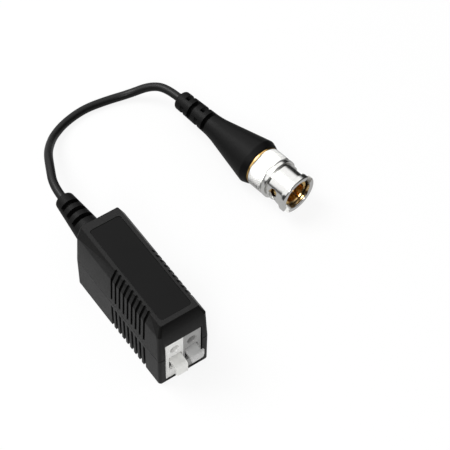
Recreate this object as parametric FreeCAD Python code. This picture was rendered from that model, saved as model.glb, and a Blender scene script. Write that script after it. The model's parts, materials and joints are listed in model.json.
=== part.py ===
import FreeCAD, Part
import math
import os

# A one-channel passive video balun: a two-shell box with two push-lever wire clamps in its front,
# and a short coax lead from its back to a bayonet video plug. Millimetres.
# X is the box's width, Y runs from the clamps (-Y) to the cable exit (+Y), Z is up.
# Pieces are drawn about the middle of the box's underside. They are saved a little further along Y,
# with the origin under the middle of the box and its levers together.

# Box
box_width = 17.5
box_length = 45.5
box_height = 27.0
seam_height = 12.2
wall = 1.6
floor_thickness = 0.8
roof_thickness = 1.8
corner_radius = 1.0
chamfer_in = 1.7
chamfer_down = 3.3
back_edge_in = 0.1
top_corner_radius = 0.5
draft_upper = 0.45
draft_lower = 0.1
lip_height = 1.0
lip_thickness = 0.7
lip_clearance = 0.08
seam_line_height = 0.3
seam_line_depth = 0.35

# Finger grooves in both long sides
groove_count = 9
groove_pitch = 2.16
groove_width = 1.0
groove_depth = 0.85
groove_first_y = 2.7
groove_seam_gap = 1.7
groove_top_in = 0.5

# Recess and film on the roof
film_width = 10.6
film_length = 38.2
film_middle_y = 0.2
film_recess_depth = 0.35
film_thickness = 0.25
film_clearance = 0.1
film_corner = 1.0

# Front opening and the two clamp modules in it
module_width = 6.2
module_height = 17.4
module_depth = 12.0
module_recess = 0.4
opening_clearance = 0.25
module_inner_wall = 0.6
module_front_wall = 1.0
module_back_wall = 0.8
module_bottom_wall = 0.8
module_top_wall = 1.0
wire_hole_radius = 1.4
wire_hole_drop = 3.9
wire_hole_inset = 0.1
wire_guide_gap = 0.3
wire_hole_mouth = 0.25
wire_floor_wall = 0.25

# Levers
lever_width = 4.1
lever_side_clearance = 0.15
lever_pivot_in = 3.0
lever_hub_radius = 1.45
lever_plate = 1.2
lever_reach = 3.6
lever_slope_drop = 0.3
white_lip_drop = 4.7
grey_lip_drop = 2.2
lever_tail_back = 1.6
lever_tail_drop = 2.6
lever_tail_thickness = 1.2
lever_below_wire = 2.4
lever_top_clearance = 1.0
lever_window_drop = 4.0
lever_stub_radius = 0.7
lever_stub_length = 0.4
stub_clearance = 0.06
ear_rise = 0.8
ear_size = 0.9
ear_inset = 0.1
lever_tip_radius = 1.1
lever_foot_radius = 0.9

# Clamp springs and busbars
spring_width = 3.7
spring_thickness = 0.3
spring_bend_radius = 1.3
spring_bottom_gap = 0.1
spring_tail_gap = 0.25
busbar_thickness = 0.5
busbar_length = 4.6
pin_size = 0.9
pin_above_board = 1.0

# Circuit board and what it carries
board_thickness = 1.2
board_length = 36.5
board_side_clearance = 0.25
board_hole_clearance = 0.1
rail_width = 1.0
rail_height = 1.2
rail_length = 22.0
rib_thickness = 1.0
rib_width = 8.0
rib_front_y = -16.5
rib_back_y = 11.5
core_outer_radius = 4.6
core_inner_radius = 2.5
core_height = 4.0
core_y = -1.5
turn_count = 16
turn_size = 0.4
turn_clearance = 0.05
chip_length = 2.0
chip_width = 1.25
chip_height = 0.8
diode_length = 4.3
diode_width = 2.6
diode_height = 2.2

# Cable
cable_diameter = 2.9
dielectric_diameter = 1.5
conductor_diameter = 0.5
pigtail_diameter = 0.9
pigtail_side = 1.1
jacket_inside = 3.0
dielectric_inside = 1.6
conductor_inside = 2.2

# Strain relief at the box
relief_length = 21.1
relief_base_radius = 5.0
relief_tip_radius = 3.1
relief_tip_round = 0.7
relief_neck_radius = 3.4
relief_neck_clearance = 0.1
relief_flange_radius = 4.6
relief_flange_thickness = 1.3
relief_wall_gap = 0.25
relief_slot_width = 1.7
relief_slot_pitch = 3.55
relief_first_slot = 4.5
relief_core_wall = 0.5
bore_overrun = 10.0
relief_slots = 3
slot_angle = 130.0

# Plug: where its boot starts, the way it points, and its stations from the boot's start
boot_start = (55.0, 60.25)
plug_heading = -81.2
boot_length = 37.6
boot_tip_radius = 3.3
boot_tip_round = 0.9
boot_neck_length = 15.0
boot_neck_radius = 3.75
boot_throat_length = 2.8
boot_throat_radius = 4.1
boot_end_radius = 8.0
boot_end_round = 0.3
boot_mouth_length = 2.0
boot_mouth_radius = 7.3
boot_lip_depth = 0.8
boot_slot_width = 1.6
boot_slot_stations = (3.6, 7.0, 10.5, 13.8)
boot_slot_roll = 35.0
boot_cavity_start = 24.0

ferrule_radius = 2.75
ferrule_wall = 0.35
ferrule_length = 9.0
stem_radius = 2.0
stem_bore = 0.95
shoulder_radius = 5.4
shoulder_length = 4.0
flange_radius = 6.75
flange_thickness = 0.6
neck_radius = 4.55
neck_length = 5.4
body_bore_radius = 3.4

coupling_gap = 0.2
coupling_radius = 7.0
coupling_length = 15.9
knurl_length = 5.7
knurl_edge = 0.3
groove_ring_length = 0.5
groove_ring_depth = 0.5
smooth_ring_length = 1.2
shadow_groove_length = 0.5
shadow_groove_radius = 5.85
sleeve_radius = 6.3
sleeve_bore_radius = 5.3
front_ring_length = 1.9
front_ring_edge = 0.35
lip_ring_length = 1.5
turning_clearance = 0.08
cavity_radius = 5.9
cavity_length = 4.9

slot_entry_angle = 130.0
slot_turn_angle = -54.0
slot_steps = 6
slot_from_end = 5.1
bayonet_entry_width = 3.4
bayonet_slot_width = 2.7
bayonet_detent_radius = 1.45
bayonet_detent_hook = 0.4
bayonet_ramp_rise = 0.6

washer_thickness = 0.4
washer_gap = 0.05
wave_washer_height = 1.3
wave_washer_thickness = 0.25
wave_count = 3
ring_thickness = 0.8
ring_radius = 5.3
ring_groove_depth = 0.4
sector_height = 20.0
gasket_thickness = 1.0
gasket_width = 0.75

contact_radius = 4.6
contact_wall = 1.0
contact_recess = 1.4
contact_slots = 6
contact_slot_width = 0.45
contact_slot_turn = 22.0
contact_slot_length = 6.0
insulator_nose_radius = 2.2
insulator_nose_length = 2.0
insulator_clearance = 0.05
insulator_start_in = 1.0
insulator_length = 11.0
conductor_in_pin = 2.0
conductor_bare = 0.6
centre_pin_radius = 0.68
centre_pin_recess = 2.4
centre_pin_tip = 0.9
centre_pin_back = 3.0

# Route of the cable between the box's relief and the plug's boot: x, y and height of each corner
cable_route = [
    (0.0, 49.95, 12.2),
    (3.4, 57.69, 11.71),
    (6.64, 64.5, 8.82),
    (10.45, 70.05, 5.31),
    (14.64, 74.52, 2.75),
    (20.75, 77.95, 1.55),
    (28.82, 79.38, 1.6),
    (36.86, 78.46, 1.52),
    (44.83, 76.35, 1.9),
    (50.8, 72.35, 5.97),
    (53.978, 66.854, 8.0),
]

# Places worked out from the sizes
saved_shift_y = (lever_reach - module_recess) / 2
half_width = box_width / 2
half_length = box_length / 2
chamfer_height = box_height - chamfer_down
front_face_y = -half_length + module_recess
back_wall_y = half_length - wall
module_bottom = floor_thickness
module_top = module_bottom + module_height
module_back_y = front_face_y + module_depth
wire_hole_z = module_top - wire_hole_drop
wire_hole_x = module_width / 2 - wire_hole_inset
lever_x = module_inner_wall + lever_side_clearance + lever_width / 2
cavity_half_width = lever_width / 2 + lever_side_clearance
wire_floor_z = wire_hole_z - wire_hole_radius - wire_floor_wall
pivot_y = front_face_y + lever_pivot_in
lever_top_z = wire_floor_z - lever_below_wire
pivot_z = lever_top_z - lever_hub_radius
opening_half_width = module_width + opening_clearance
opening_top = module_top + opening_clearance
board_bottom = module_top
board_top = board_bottom + board_thickness
board_front_y = -half_length + wall + 0.4
board_back_y = board_front_y + board_length
board_corner = corner_radius
spring_leg_y = front_face_y + lever_pivot_in + lever_tail_back + spring_tail_gap
wire_guide_end = spring_leg_y - wire_guide_gap
board_half_width = half_width - draft_upper - wall - board_side_clearance
relief_tip_y = half_length + relief_length
cable_radius = cable_diameter / 2
cable_end_in_box_y = back_wall_y - relief_flange_thickness - jacket_inside

flange_start = boot_length
coupling_start = flange_start + flange_thickness + coupling_gap
coupling_end = coupling_start + coupling_length
lip_end = coupling_start + lip_ring_length
body_front = flange_start + flange_thickness + neck_length
contact_front = coupling_end - contact_recess
shoulder_start = flange_start - shoulder_length
ferrule_start = shoulder_start - ferrule_length
jacket_end = ferrule_start + 2.5

os.makedirs("parts", exist_ok=True)


def vector(x, y, z):
    return FreeCAD.Vector(x, y, z)


def box(x0, x1, y0, y1, z0, z1):
    return Part.makeBox(x1 - x0, y1 - y0, z1 - z0, vector(x0, y0, z0))


def rod(radius, start, end):
    way = end - start
    return Part.makeCylinder(radius, way.Length, start, way)


def tube(outer, inner, z0, z1):
    body = rod(outer, vector(0, 0, z0), vector(0, 0, z1))
    return body.cut(rod(inner, vector(0, 0, z0 - 1), vector(0, 0, z1 + 1)))


def rounded_wire(x0, x1, y0, y1, z, radius):
    """A rectangle with four round corners, at one height."""
    r = radius
    k = r * (1 - math.sqrt(0.5))
    points = [
        ((x0 + r, y0), (x1 - r, y0), (x1 - k, y0 + k), (x1, y0 + r)),
        ((x1, y0 + r), (x1, y1 - r), (x1 - k, y1 - k), (x1 - r, y1)),
        ((x1 - r, y1), (x0 + r, y1), (x0 + k, y1 - k), (x0, y1 - r)),
        ((x0, y1 - r), (x0, y0 + r), (x0 + k, y0 + k), (x0 + r, y0)),
    ]
    edges = []
    for start, end, middle, corner_end in points:
        a, b, m, c = [vector(p[0], p[1], z) for p in (start, end, middle, corner_end)]
        edges.append(Part.LineSegment(a, b).toShape())
        edges.append(Part.Arc(b, m, c).toShape())
    return Part.Wire(edges)


def tapered_block(lower, upper):
    """A solid between two rounded rectangles."""
    return Part.makeLoft([rounded_wire(*lower), rounded_wire(*upper)], True, True)


def prism_x(points, x0, x1):
    """A polygon of (y, z) points, pushed along X."""
    corners = [vector(x0, y, z) for y, z in points]
    face = Part.Face(Part.makePolygon(corners + corners[:1]))
    return face.extrude(vector(x1 - x0, 0, 0))


def prism_y(points, y0, y1):
    """A polygon of (x, z) points, pushed along Y."""
    corners = [vector(x, y0, z) for x, z in points]
    face = Part.Face(Part.makePolygon(corners + corners[:1]))
    return face.extrude(vector(0, y1 - y0, 0))


def revolve(points):
    """A closed outline of (radius, z) points, turned round Z."""
    corners = [vector(r, 0, z) for r, z in points]
    face = Part.Face(Part.makePolygon(corners + corners[:1]))
    return face.revolve(vector(0, 0, 0), vector(0, 0, 1), 360)


def fuse(shapes):
    return shapes[0].multiFuse(shapes[1:]).removeSplitter()


def sector_slot(z, width, middle_angle, core_radius, outer_radius):
    """A slot round part of a turned shape, open to the outside and stopped at its core."""
    wedge = Part.makeCylinder(outer_radius, width, vector(0, 0, z - width / 2), vector(0, 0, 1), slot_angle)
    wedge.rotate(vector(0, 0, 0), vector(0, 0, 1), middle_angle - slot_angle / 2)
    return wedge.cut(rod(core_radius, vector(0, 0, z - width), vector(0, 0, z + width)))


def lay_along(shape, origin, way):
    """Turns a shape made along Z to lie along a level direction, with its own X upwards."""
    ez = way
    ex = vector(0, 0, 1)
    ey = ez.cross(ex)
    matrix = FreeCAD.Matrix(
        ex.x, ey.x, ez.x, origin.x,
        ex.y, ey.y, ez.y, origin.y,
        ex.z, ey.z, ez.z, origin.z,
        0, 0, 0, 1)
    placed = shape.copy()
    placed.Placement = FreeCAD.Placement(matrix)
    return placed


plug_way = vector(math.cos(math.radians(plug_heading)), math.sin(math.radians(plug_heading)), 0)
plug_origin = vector(boot_start[0], boot_start[1], boot_end_radius)
relief_way = vector(0, 1, 0)
relief_origin = vector(0, half_length, seam_height)


def on_plug(shape):
    return lay_along(shape, plug_origin, plug_way)


def on_relief(shape):
    return lay_along(shape, relief_origin, relief_way)


def save(name, shape):
    solids = shape.Solids
    whole = solids[0] if len(solids) == 1 else Part.makeCompound(solids)
    whole.translate(vector(0, saved_shift_y, 0))
    if not whole.isValid():
        print("NOT VALID", name)
    whole.exportStep("parts/%s.step" % name)
    print("%-26s solids %2d volume %9.2f" % (name, len(solids), whole.Volume))


def groove_places():
    return [groove_first_y - i * groove_pitch for i in range(groove_count)]


def groove_cutters(profile):
    """The same groove outline on both sides, once for each groove."""
    cutters = []
    for y in groove_places():
        right = prism_y(profile, y - groove_width / 2, y + groove_width / 2)
        cutters.append(right)
        cutters.append(right.mirror(vector(0, 0, 0), vector(1, 0, 0)))
    return Part.makeCompound(cutters)


def relief_hole():
    radius = relief_neck_radius + relief_neck_clearance
    return rod(radius, vector(0, back_wall_y - 1, seam_height), vector(0, half_length + 1, seam_height))


def opening_cutter():
    return box(-opening_half_width, opening_half_width, -half_length - 1, -half_length + wall + 0.6,
               floor_thickness, opening_top)


def seam_line():
    """The shadow gap that runs round the box just above the seam."""
    x = half_width - seam_line_depth
    y = half_length - seam_line_depth
    z0 = seam_height
    z1 = seam_height + seam_line_height
    inside = tapered_block((-x, x, -y, y, z0, corner_radius), (-x, x, -y, y, z1, corner_radius))
    return box(-half_width - 1, half_width + 1, -half_length - 1, half_length + 1, z0, z1).cut(inside)


# The upper shell: drafted walls, wide chamfers, roof recess, side grooves, rails and ribs inside
def make_upper_shell():
    w = half_width
    n = half_length
    u = draft_upper
    seam = (-w, w, -n, n, seam_height, corner_radius)
    shoulder = (-w + u, w - u, -n + u, n - u, chamfer_height, corner_radius)
    top = (-w + u + chamfer_in, w - u - chamfer_in, -n + u + chamfer_in, n - u - back_edge_in,
           box_height, top_corner_radius)
    outer = tapered_block(seam, shoulder).fuse(tapered_block(shoulder, top))

    inner_radius = corner_radius - wall / 2
    roof = box_height - roof_thickness
    # The inside follows the chamfer, one wall further in
    lift = chamfer_down - roof_thickness
    slope = chamfer_in / chamfer_down
    shoulder_in = slope * lift
    t = wall
    inner_seam = (-w + t, w - t, -n + t, n - t, seam_height - 1, inner_radius)
    inner_shoulder = (-w + u + t, w - u - t, -n + u + t, n - u - t, chamfer_height, inner_radius)
    inner_top = (-w + u + t + shoulder_in, w - u - t - shoulder_in, -n + u + t + shoulder_in, n - u - t,
                 roof, inner_radius)
    inner = tapered_block(inner_seam, inner_shoulder).fuse(tapered_block(inner_shoulder, inner_top))
    shell = outer.cut(inner)

    recess = film_outline(film_clearance, box_height - film_recess_depth, box_height + 1)
    shell = shell.cut(recess)

    profile = [
        (w + 1, seam_height + groove_seam_gap),
        (w - groove_depth, seam_height + groove_seam_gap),
        (w - u - groove_depth, chamfer_height),
        (w - u - chamfer_in - groove_top_in, box_height),
        (w - u - chamfer_in - groove_top_in, box_height + 1),
        (w + 1, box_height + 1),
    ]
    shell = shell.cut(groove_cutters(profile))
    shell = shell.cut(seam_line())
    shell = shell.cut(opening_cutter())
    shell = shell.cut(relief_hole())

    lip_room = lip_thickness + lip_clearance
    rebate = tapered_block(
        (-w + t - lip_room, w - t + lip_room, -n + t - lip_room, n - t + lip_room, seam_height - 1,
         inner_radius + lip_room),
        (-w + t - lip_room, w - t + lip_room, -n + t - lip_room, n - t + lip_room,
         seam_height + lip_height + lip_clearance, inner_radius + lip_room))
    shell = shell.cut(rebate)

    inside = tapered_block(
        (-w + t / 2, w - t / 2, -n + t / 2, n - t / 2, seam_height, inner_radius),
        (-w + u + t / 2, w - u - t / 2, -n + u + t / 2, n - u - t / 2, chamfer_height, inner_radius))
    extras = []
    rail_y1 = board_back_y
    for side in (-1, 1):
        x0, x1 = sorted((side * (board_half_width - rail_width + board_side_clearance), side * w))
        rail = box(x0, x1, rail_y1 - rail_length, rail_y1, board_bottom - rail_height, board_bottom)
        extras.append(rail.common(inside))
    for y in (rib_front_y, rib_back_y):
        extras.append(box(-rib_width / 2, rib_width / 2, y - rib_thickness / 2, y + rib_thickness / 2,
                          board_top, roof + roof_thickness / 4))
    return fuse([shell] + extras)


def film_outline(spare, z0, z1):
    x = film_width / 2 + spare
    y = film_length / 2 + spare
    r = film_corner + spare
    lower = (-x, x, film_middle_y - y, film_middle_y + y, z0, r)
    upper = (-x, x, film_middle_y - y, film_middle_y + y, z1, r)
    return tapered_block(lower, upper)


# The lower shell: a drafted tray with a lip that fits inside the upper shell
def make_lower_shell():
    w = half_width
    n = half_length
    d = draft_lower
    t = wall
    inner_radius = corner_radius - wall / 2
    outer = tapered_block(
        (-w + d, w - d, -n + d, n - d, 0, corner_radius),
        (-w, w, -n, n, seam_height, corner_radius))
    inner = tapered_block(
        (-w + d + t, w - d - t, -n + d + t, n - d - t, floor_thickness, inner_radius),
        (-w + t, w - t, -n + t, n - t, seam_height, inner_radius))
    shell = outer.cut(inner)

    profile = [
        (w + 1, seam_height - groove_seam_gap),
        (w - groove_depth, seam_height - groove_seam_gap),
        (w - d - groove_depth, -1),
        (w + 1, -1),
    ]
    shell = shell.cut(groove_cutters(profile))

    s = lip_thickness
    lip = tapered_block(
        (-w + t - s, w - t + s, -n + t - s, n - t + s, seam_height - 0.2, inner_radius + s),
        (-w + t - s, w - t + s, -n + t - s, n - t + s, seam_height + lip_height, inner_radius + s))
    lip_inside = tapered_block(
        (-w + t, w - t, -n + t, n - t, seam_height - 1, inner_radius),
        (-w + t, w - t, -n + t, n - t, seam_height + lip_height + 1, inner_radius))
    shell = shell.fuse(lip.cut(lip_inside))
    shell = shell.cut(opening_cutter())
    return shell.cut(relief_hole()).removeSplitter()


def make_film():
    z0 = box_height - film_recess_depth
    return film_outline(0.0, z0, z0 + film_thickness)


# One clamp module: a hollow block with a round wire entry over a window for its lever
def make_module(side):
    x_inner = 0.0
    x_outer = module_width
    block = box(x_inner, x_outer, front_face_y, module_back_y, module_bottom, module_top)
    x0 = lever_x - cavity_half_width
    x1 = lever_x + cavity_half_width
    low = box(x0, x1, front_face_y + module_front_wall, module_back_y - module_back_wall,
              module_bottom + module_bottom_wall, wire_floor_z)
    high = box(x0, x1, wire_guide_end, module_back_y - module_back_wall,
               wire_floor_z - 0.1, module_top - module_top_wall)
    window = box(x0, x1, front_face_y - 1, front_face_y + module_front_wall + 0.1,
                 pivot_z - lever_window_drop, lever_top_z + lever_top_clearance)
    entry = rod(wire_hole_radius, vector(wire_hole_x, front_face_y - 1, wire_hole_z),
                vector(wire_hole_x, wire_guide_end + 0.5, wire_hole_z))
    mouth = Part.makeCone(wire_hole_radius + wire_hole_mouth, wire_hole_radius, wire_hole_mouth * 2,
                          vector(wire_hole_x, front_face_y, wire_hole_z), vector(0, 1, 0))
    pivot_hole = rod(lever_stub_radius + stub_clearance, vector(-1, pivot_y, pivot_z),
                     vector(x1 + lever_stub_length + 0.3, pivot_y, pivot_z))
    pin_y = busbar_pin_y()
    p = pin_size / 2 + board_hole_clearance
    pin_hole = box(lever_x - p, lever_x + p, pin_y - p, pin_y + p,
                   module_top - module_top_wall - 0.5, module_top + 1)
    body = block.cut(Part.makeCompound([low, high])).cut(window).cut(entry).cut(mouth)
    body = body.cut(pivot_hole).cut(pin_hole)
    return mirrored(body, side).removeSplitter()


def mirrored(shape, side):
    return shape if side > 0 else shape.mirror(vector(0, 0, 0), vector(1, 0, 0))


def busbar_pin_y():
    return module_back_y - module_back_wall - 1.6


# One lever: a hub on two stubs, a plate out through the window with a lip down at its end, and a tail
def make_lever(side, lip_drop, eared):
    x0 = lever_x - lever_width / 2
    x1 = lever_x + lever_width / 2
    top = lever_top_z
    t = lever_plate
    tip_y = front_face_y - lever_reach
    corner_z = top - lever_slope_drop
    inner_z = corner_z + lever_slope_drop * t / lever_reach - t
    tongue = prism_x([
        (pivot_y, top), (front_face_y, top), (tip_y, corner_z), (tip_y, top - lip_drop),
        (tip_y + t, top - lip_drop), (tip_y + t, inner_z), (front_face_y, top - t),
        (pivot_y, top - t)], x0, x1)
    tongue = round_edges(tongue, lever_tip_radius, lambda point: point.y < tip_y + 0.01, corner_z)
    tongue = round_edges(tongue, lever_foot_radius, lambda point: abs(point.x - x1) < 0.01, top - lip_drop)
    hub = rod(lever_hub_radius, vector(x0, pivot_y, pivot_z), vector(x1, pivot_y, pivot_z))
    h = lever_tail_thickness / 2
    tail = prism_x([
        (pivot_y - h, pivot_z), (pivot_y + h, pivot_z),
        (pivot_y + lever_tail_back, pivot_z - lever_tail_drop),
        (pivot_y + lever_tail_back - 2 * h, pivot_z - lever_tail_drop)], x0 + 0.6, x1 - 0.6)
    stubs = rod(lever_stub_radius, vector(x0 - lever_stub_length, pivot_y, pivot_z),
                vector(x1 + lever_stub_length, pivot_y, pivot_z))
    pieces = [tongue, hub, tail, stubs]
    if eared:
        ear_y = tip_y + ear_size / 2 + ear_inset
        pieces.append(rod(ear_size / 2, vector(x1, ear_y, inner_z), vector(x1, ear_y, top + ear_rise)))
    return mirrored(fuse(pieces), side)


def round_edges(shape, radius, chosen, z):
    """Rounds the level edges at one height whose ends are all chosen."""
    picked = []
    for edge in shape.Edges:
        ends = [v.Point for v in edge.Vertexes]
        if len(ends) == 2 and all(abs(p.z - z) < 0.01 and chosen(p) for p in ends):
            picked.append(edge)
    return shape.makeFillet(radius, picked)


# One clamp spring: a strip of sheet with a fixed back leg, a bend and a free front leg
def make_clamp_spring(side):
    x0 = lever_x - spring_width / 2
    x1 = lever_x + spring_width / 2
    t = spring_thickness
    back_y = module_back_y - module_back_wall - 0.1
    low_z = module_bottom + module_bottom_wall + spring_bottom_gap + spring_bend_radius
    high_z = busbar_z() - 0.1
    bend_y = back_y - spring_bend_radius
    front_y = bend_y - spring_bend_radius
    tail_y = spring_leg_y
    tail_z = pivot_z - lever_tail_drop
    r = spring_bend_radius
    outer_arc = Part.Arc(vector(x0, back_y, low_z), vector(x0, bend_y, low_z - r), vector(x0, front_y, low_z))
    inner_arc = Part.Arc(vector(x0, front_y + t, low_z), vector(x0, bend_y, low_z - r + t),
                         vector(x0, back_y - t, low_z))
    leg_points = [(front_y, low_z), (tail_y, tail_z), (tail_y, high_z), (tail_y + t, high_z),
                  (tail_y + t, tail_z + 0.05), (front_y + t, low_z)]
    edges = [outer_arc.toShape()]
    for a, b in zip(leg_points, leg_points[1:]):
        edges.append(Part.LineSegment(vector(x0, a[0], a[1]), vector(x0, b[0], b[1])).toShape())
    edges.append(inner_arc.toShape())
    back_points = [(back_y - t, low_z), (back_y - t, high_z), (back_y, high_z), (back_y, low_z)]
    for a, b in zip(back_points, back_points[1:]):
        edges.append(Part.LineSegment(vector(x0, a[0], a[1]), vector(x0, b[0], b[1])).toShape())
    strip = Part.Face(Part.Wire(edges)).extrude(vector(x1 - x0, 0, 0))
    window = rod(wire_hole_radius, vector(wire_hole_x, tail_y - 1, wire_hole_z),
                 vector(wire_hole_x, tail_y + 1, wire_hole_z))
    return mirrored(strip.cut(window), side)


def busbar_z():
    return module_top - module_top_wall - busbar_thickness


# One terminal: a busbar under the module's roof with its solder pin through the board
def make_terminal(side):
    back_y = module_back_y - module_back_wall - 0.05
    bar = box(lever_x - spring_width / 2, lever_x + spring_width / 2, back_y - busbar_length, back_y,
              busbar_z(), busbar_z() + busbar_thickness)
    p = pin_size / 2
    y = busbar_pin_y()
    pin = box(lever_x - p, lever_x + p, y - p, y + p, busbar_z(), board_top + pin_above_board)
    return mirrored(fuse([bar, pin]), side)


def make_board():
    w = board_half_width
    board = tapered_block((-w, w, board_front_y, board_back_y, board_bottom, board_corner),
                          (-w, w, board_front_y, board_back_y, board_top, board_corner))
    holes = []
    p = pin_size / 2 + board_hole_clearance
    y = busbar_pin_y()
    low = board_bottom - 1
    high = board_top + 1
    for x in (-lever_x, lever_x):
        holes.append(box(x - p, x + p, y - p, y + p, low, high))
    r = conductor_diameter / 2 + board_hole_clearance
    holes.append(rod(r, vector(0, conductor_hole_y(), low), vector(0, conductor_hole_y(), high)))
    r = pigtail_diameter / 2 + board_hole_clearance
    holes.append(rod(r, vector(pigtail_side, pigtail_hole_y(), low),
                     vector(pigtail_side, pigtail_hole_y(), high)))
    return board.cut(Part.makeCompound(holes))


def conductor_hole_y():
    return cable_end_in_box_y - dielectric_inside - conductor_inside


def pigtail_hole_y():
    return cable_end_in_box_y - conductor_inside / 2


def make_core():
    ring = tube(core_outer_radius, core_inner_radius, 0, core_height)
    ring.translate(vector(0, core_y, board_bottom - turn_size - 2 * turn_clearance - core_height))
    return ring


# The winding: square wire loops round the ring core, in two banks with a gap at each end
def make_winding():
    c = turn_clearance
    s = turn_size
    top = board_bottom - turn_clearance
    bottom = top - 2 * s - 2 * c - core_height
    loops = []
    bank = turn_count // 2
    for i in range(turn_count):
        turn = i % bank
        angle = 180 * (i // bank) + 25 + 130 * turn / (bank - 1)
        loop = box(core_inner_radius - c - s, core_outer_radius + c + s, -s / 2, s / 2, bottom, top)
        hole = box(core_inner_radius - c, core_outer_radius + c, -s, s, bottom + s, top - s)
        loop = loop.cut(hole)
        loop.rotate(vector(0, 0, 0), vector(0, 0, 1), angle)
        loop.translate(vector(0, core_y, 0))
        loops.append(loop)
    return Part.makeCompound(loops)


def make_chips(places, height):
    chips = []
    for x, y in places:
        chips.append(box(x - chip_length / 2, x + chip_length / 2, y - chip_width / 2, y + chip_width / 2,
                         board_top, board_top + height))
    return Part.makeCompound(chips)


def make_diodes():
    diodes = []
    for side in (-1, 1):
        x = side * (diode_width / 2 + 1.0)
        diodes.append(box(x - diode_width / 2, x + diode_width / 2, core_y - 4 - diode_length, core_y - 4,
                          board_top, board_top + diode_height))
    return Part.makeCompound(diodes)


def pipe(points, radius):
    """A round tube along straight runs joined by tangent arcs. Gives the solid, its length and radii."""
    corners = [vector(*p) for p in points]
    edges = []
    radii = []
    start = corners[0]
    for i in range(1, len(corners) - 1):
        before = corners[i] - corners[i - 1]
        after = corners[i + 1] - corners[i]
        turn = before.getAngle(after)
        reach = 0.45 * min(before.Length, after.Length)
        bend = reach / math.tan(turn / 2)
        radii.append(bend)
        a = corners[i] - before.normalize() * reach
        b = corners[i] + after.normalize() * reach
        inward = (a + b) * 0.5 - corners[i]
        to_arc = bend / math.cos(turn / 2) - bend
        middle = corners[i] + inward.normalize() * to_arc
        edges.append(Part.LineSegment(start, a).toShape())
        edges.append(Part.Arc(a, middle, b).toShape())
        start = b
    edges.append(Part.LineSegment(start, corners[-1]).toShape())
    path = Part.Wire(edges)
    first = (corners[1] - corners[0]).normalize()
    circle = Part.Wire(Part.makeCircle(radius, corners[0], first))
    solid = path.makePipeShell([circle], True, False)
    return solid, path.Length, radii


def make_cable():
    box_end = (0, relief_tip_y, seam_height)
    plug_end = (boot_start[0], boot_start[1], boot_end_radius)
    solid, length, radii = pipe([box_end] + cable_route + [plug_end], cable_radius)
    expected = math.pi * cable_radius ** 2 * length
    print("cable length %.1f volume ratio %.4f" % (length, solid.Volume / expected))
    print("cable radii", [round(r, 1) for r in radii])
    return solid


# The cable's end in the box: jacket through the relief, then dielectric, conductor and braid pigtail
def make_cable_box_end():
    return rod(cable_radius, vector(0, cable_end_in_box_y, seam_height), vector(0, relief_tip_y, seam_height))


def make_dielectric_box_end():
    return rod(dielectric_diameter / 2, vector(0, cable_end_in_box_y - dielectric_inside, seam_height),
               vector(0, cable_end_in_box_y, seam_height))


def make_conductor_box_end():
    y = cable_end_in_box_y - dielectric_inside
    points = [(0, y, seam_height), (0, conductor_hole_y(), seam_height),
              (0, conductor_hole_y(), board_top + 0.6)]
    return pipe(points, conductor_diameter / 2)[0]


def make_pigtail():
    y = cable_end_in_box_y
    z = seam_height
    high = z + pigtail_rise()
    points = [(pigtail_side, y + 1.6, high), (pigtail_side, pigtail_hole_y(), high),
              (pigtail_side, pigtail_hole_y(), board_top + 0.6)]
    return pipe(points, pigtail_diameter / 2)[0]


def pigtail_rise():
    """Sets the braid's tail just clear of the jacket, beside and above it."""
    clear = cable_radius + pigtail_diameter / 2 + 0.02
    return math.sqrt(clear ** 2 - pigtail_side ** 2)


# The box's strain relief: a cone with three levels of slots, a neck in the wall and a flange inside
def make_box_relief():
    neck = wall + relief_wall_gap
    base = relief_base_radius
    tip = relief_tip_radius
    q = relief_tip_round
    outline = [
        (0, -neck - relief_flange_thickness), (relief_flange_radius, -neck - relief_flange_thickness),
        (relief_flange_radius, -neck), (relief_neck_radius, -neck), (relief_neck_radius, 0), (base, 0),
        (base, 1.0), (tip, relief_length - q), (tip - q * 0.3, relief_length - q * 0.3),
        (tip - q, relief_length), (0, relief_length)]
    relief = revolve(outline)
    cutters = []
    for i in range(relief_slots):
        z = relief_length - relief_first_slot - i * relief_slot_pitch
        core = cable_radius + relief_core_wall
        for angle in (0, 180):
            cutters.append(sector_slot(z, relief_slot_width, angle, core, base + 1))
    relief = relief.cut(Part.makeCompound(cutters))
    bore = rod(cable_radius, vector(0, 0, -bore_overrun), vector(0, 0, relief_length + bore_overrun))
    return on_relief(relief.cut(bore))


# The plug's boot: a slotted neck that swells to the plug's rear flange
def make_boot():
    q = boot_tip_round
    e = boot_end_round
    widest = boot_length - boot_mouth_length
    outline = [
        (0, 0), (boot_tip_radius - q, 0), (boot_tip_radius - q * 0.3, q * 0.3), (boot_tip_radius, q),
        (boot_neck_radius, boot_neck_length), (boot_throat_radius, boot_neck_length + boot_throat_length),
        (boot_end_radius - e * 0.2, widest - e), (boot_end_radius, widest),
        (boot_mouth_radius, boot_length), (0, boot_length)]
    boot = revolve(outline)
    cutters = []
    core = cable_radius + relief_core_wall
    for i, z in enumerate(boot_slot_stations):
        turn = 90 if i % 2 == 0 else 0
        for angle in (turn, turn + 180):
            cutters.append(sector_slot(z, boot_slot_width, angle + boot_slot_roll, core, boot_end_radius))
    boot = boot.cut(Part.makeCompound(cutters))
    hollow = revolve([
        (0, -1), (cable_radius, -1), (cable_radius, boot_cavity_start), (ferrule_radius, boot_cavity_start),
        (ferrule_radius, shoulder_start), (shoulder_radius, shoulder_start),
        (shoulder_radius, boot_length - boot_lip_depth), (flange_radius, boot_length - boot_lip_depth),
        (flange_radius, boot_length + 1), (0, boot_length + 1)])
    return on_plug(boot.cut(hollow))


# The cable's end in the plug, and the crimped parts under the boot
def make_cable_plug_end():
    return on_plug(rod(cable_radius, vector(0, 0, 0), vector(0, 0, jacket_end)))


def make_dielectric_plug_end():
    end = pin_back_z() - conductor_bare
    return on_plug(rod(dielectric_diameter / 2, vector(0, 0, jacket_end), vector(0, 0, end)))


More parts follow.
